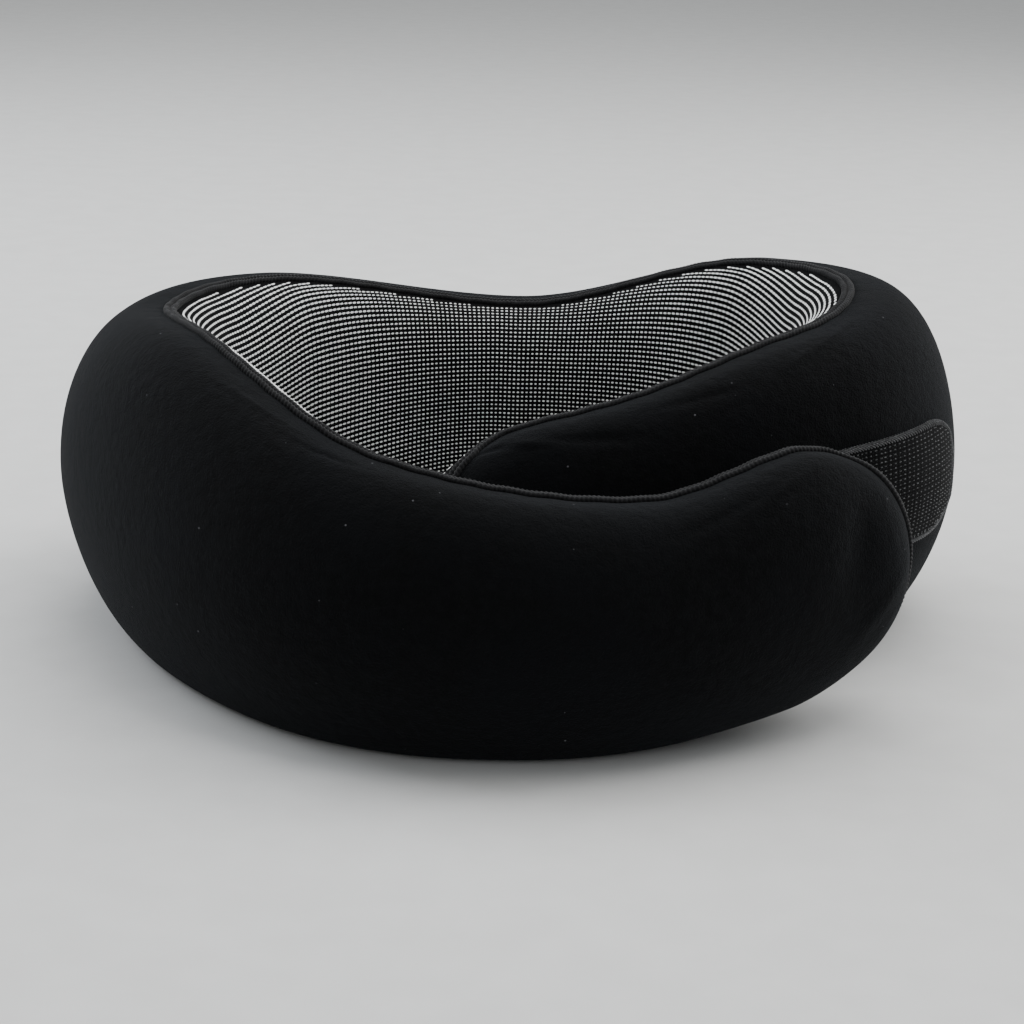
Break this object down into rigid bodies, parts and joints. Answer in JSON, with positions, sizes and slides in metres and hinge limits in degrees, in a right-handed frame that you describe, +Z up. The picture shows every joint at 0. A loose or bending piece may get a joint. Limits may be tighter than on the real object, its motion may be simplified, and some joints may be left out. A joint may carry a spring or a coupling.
{
  "type": "wrap-around neck pillow",
  "caption": "Memory-foam travel neck pillow with overlapping arms, a dotted knit neck panel, piping, a hook-and-loop fastener and a zipped cover.",
  "frame": {"origin": "middle of the footprint's box, on the surface the pillow stands on", "axes": "+X across the pillow towards the closed arms' fastened side, +Y towards the back of the neck, +Z up"},
  "size_m": [0.2806, 0.245, 0.1068],
  "materials": {
    "cover": "brushed short pile, matt with a soft sheen at grazing angles",
    "panel": "black knit with a lattice of raised white dots",
    "piping": "corded double piping, matt",
    "foam": "open-cell memory foam, matt",
    "liner": "thin white jersey, matt",
    "loop": "napped loop tape with overlocked edge, matt",
    "hook": "hook tape, satin",
    "tape": "woven zip tape, matt",
    "teeth": "nylon coil, satin",
    "zip_metal": "black lacquer, satin",
    "label": "satin ribbon, blank"
  },
  "bodies": {
    "back": {"foam_core_back": "foam", "inner_liner_back": "liner", "outer_cover_back": "cover", "neck_panel_back": "panel", "piping_top_back": "piping", "piping_bottom_back": "piping", "zip_tape_upper": "tape", "zip_tape_lower": "tape", "zip_chain_upper": "teeth", "zip_chain_lower": "teeth", "zip_stop_start": "zip_metal", "zip_stop_end": "zip_metal", "care_label": "label"},
    "long_arm": {"foam_core_long_arm": "foam", "inner_liner_long_arm": "liner", "outer_cover_long_arm": "cover", "neck_panel_long_arm": "panel", "piping_long_arm": "piping", "hook_patch": "hook"},
    "short_arm": {"foam_core_short_arm": "foam", "inner_liner_short_arm": "liner", "outer_cover_short_arm": "cover", "neck_panel_short_arm": "panel", "piping_short_arm": "piping", "loop_patch": "loop"},
    "zip_slider": {"zip_slider": "zip_metal"},
    "zip_pull": {"zip_pull": "zip_metal"}
  },
  "joints": [
    {"name": "long_arm_bend", "type": "hinge", "parent": "back", "child": "long_arm", "pos_m": [-0.11306, 0.02131, 0.05], "axis": [0, 0, -1], "range_deg": [0, 60], "stiffness_Nm_per_rad": 0.25},
    {"name": "short_arm_bend", "type": "hinge", "parent": "back", "child": "short_arm", "pos_m": [0.11164, 0.02006, 0.05], "axis": [0, 0, 1], "range_deg": [0, 30], "stiffness_Nm_per_rad": 0.15},
    {"name": "zip_travel", "type": "hinge", "parent": "back", "child": "zip_slider", "pos_m": [0.00125, -0.06894, 0.023], "axis": [0, 0, 1], "range_deg": [0, 35.5]},
    {"name": "zip_pull_turn", "type": "hinge", "parent": "zip_slider", "child": "zip_pull", "pos_m": [0.06026, 0.11374, 0.0217], "axis": [-0.0911, -0.282, -0.9551], "range_deg": [0, 170]}
  ],
  "couplings": [
    {"joint": "short_arm_bend", "follows": "long_arm_bend", "ratio": 0.5}
  ]
}
